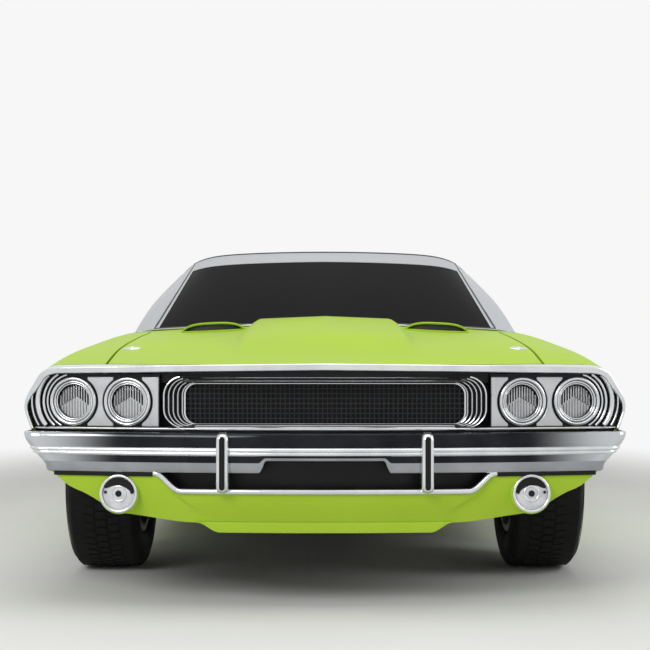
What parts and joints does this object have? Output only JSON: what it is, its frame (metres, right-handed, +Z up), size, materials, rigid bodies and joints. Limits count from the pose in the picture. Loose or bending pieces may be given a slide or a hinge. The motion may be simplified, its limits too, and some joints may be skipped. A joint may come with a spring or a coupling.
{
  "type": "muscle car",
  "caption": "Two-door hardtop muscle car with round twin headlamps, mesh grille, chrome bumpers, opening doors, hood and trunk, steered front wheels and turning wheels.",
  "frame": {"origin": "on the ground under the middle of the car", "axes": "+Z up, -Y towards the front of the car, +X towards its left side"},
  "size_m": [1.9306, 4.86, 1.29],
  "materials": {
    "paint": "gloss",
    "roof_paint": "gloss",
    "chassis": "satin",
    "chrome": "polished",
    "silver": "satin",
    "black_trim": "satin",
    "lamp_lens": "clear",
    "red_lens": "gloss",
    "window": "tinted",
    "engine_paint": "cast",
    "steel": "satin",
    "upholstery": "grained",
    "rubber": "matte",
    "wheel_metal": "satin"
  },
  "bodies": {
    "body": {"floor_pan": "chassis", "body_pillars": "paint", "firewall": "paint", "engine_bay": "chassis", "chassis_rails": "chassis", "trunk_floor": "chassis", "wheelhouses": "chassis", "fenders": "paint", "quarters": "paint", "roof": "roof_paint", "rear_panels": "paint", "front_frame": "chrome", "headlamp_panels": "silver", "headlamps": "lamp_lens", "grille": "black_trim", "front_bumper": "chrome", "front_valance": "paint", "turn_lamps": "lamp_lens", "rear_bumper": "chrome", "tail_lamps": "red_lens", "fixed_glass": "window", "engine": "engine_paint", "exhaust": "steel", "fuel_tank": "steel", "rear_axle": "chassis", "front_suspension": "chassis", "seats": "upholstery", "dashboard": "black_trim"},
    "steering_wheel": {"steering_wheel": "black_trim"},
    "door_left": {"door_left": "paint", "door_glass_left": "window"},
    "door_right": {"door_right": "paint", "door_glass_right": "window"},
    "hood": {"hood": "paint"},
    "trunk_lid": {"trunk_lid": "paint"},
    "knuckle_left": {"knuckle_left": "steel"},
    "knuckle_right": {"knuckle_right": "steel"},
    "wheel_front_left": {"wheel_front_left": "wheel_metal", "tyre_front_left": "rubber"},
    "wheel_front_right": {"wheel_front_right": "wheel_metal", "tyre_front_right": "rubber"},
    "wheel_rear_left": {"wheel_rear_left": "wheel_metal", "tyre_rear_left": "rubber"},
    "wheel_rear_right": {"wheel_rear_right": "wheel_metal", "tyre_rear_right": "rubber"}
  },
  "joints": [
    {"name": "steer_left", "type": "hinge", "parent": "body", "child": "knuckle_left", "pos_m": [0.72, -1.48, 0.335], "axis": [0, 0, 1], "range_deg": [-30, 30]},
    {"name": "steer_right", "type": "hinge", "parent": "body", "child": "knuckle_right", "pos_m": [-0.72, -1.48, 0.335], "axis": [0, 0, 1], "range_deg": [-30, 30]},
    {"name": "steering_wheel_turn", "type": "hinge", "parent": "body", "child": "steering_wheel", "pos_m": [0.37, -0.62985, 0.69001], "axis": [0, 0.9135, 0.4067], "range_deg": [-480, 480]},
    {"name": "wheel_front_left_spin", "type": "hinge", "parent": "knuckle_left", "child": "wheel_front_left", "pos_m": [0.785, -1.48, 0.335], "axis": [1, 0, 0], "continuous": true},
    {"name": "wheel_front_right_spin", "type": "hinge", "parent": "knuckle_right", "child": "wheel_front_right", "pos_m": [-0.785, -1.48, 0.335], "axis": [1, 0, 0], "continuous": true},
    {"name": "wheel_rear_left_spin", "type": "hinge", "parent": "body", "child": "wheel_rear_left", "pos_m": [0.785, 1.32, 0.335], "axis": [1, 0, 0], "continuous": true},
    {"name": "wheel_rear_right_spin", "type": "hinge", "parent": "body", "child": "wheel_rear_right", "pos_m": [-0.785, 1.32, 0.335], "axis": [1, 0, 0], "continuous": true},
    {"name": "door_left_swing", "type": "hinge", "parent": "body", "child": "door_left", "pos_m": [0.92561, -0.75016, 0.5], "axis": [0, 0, -1], "range_deg": [0, 65]},
    {"name": "door_right_swing", "type": "hinge", "parent": "body", "child": "door_right", "pos_m": [-0.92561, -0.75016, 0.5], "axis": [0, 0, 1], "range_deg": [0, 65]},
    {"name": "hood_lift", "type": "hinge", "parent": "body", "child": "hood", "pos_m": [0, -1.03343, 0.91849], "axis": [-1, 0, 0], "range_deg": [0, 50]},
    {"name": "trunk_lift", "type": "hinge", "parent": "body", "child": "trunk_lid", "pos_m": [0, 1.51515, 0.95296], "axis": [1, 0, 0], "range_deg": [0, 70]}
  ],
  "couplings": [
    {"joint": "steer_right", "follows": "steer_left", "ratio": 1},
    {"joint": "steering_wheel_turn", "follows": "steer_left", "ratio": 16}
  ]
}
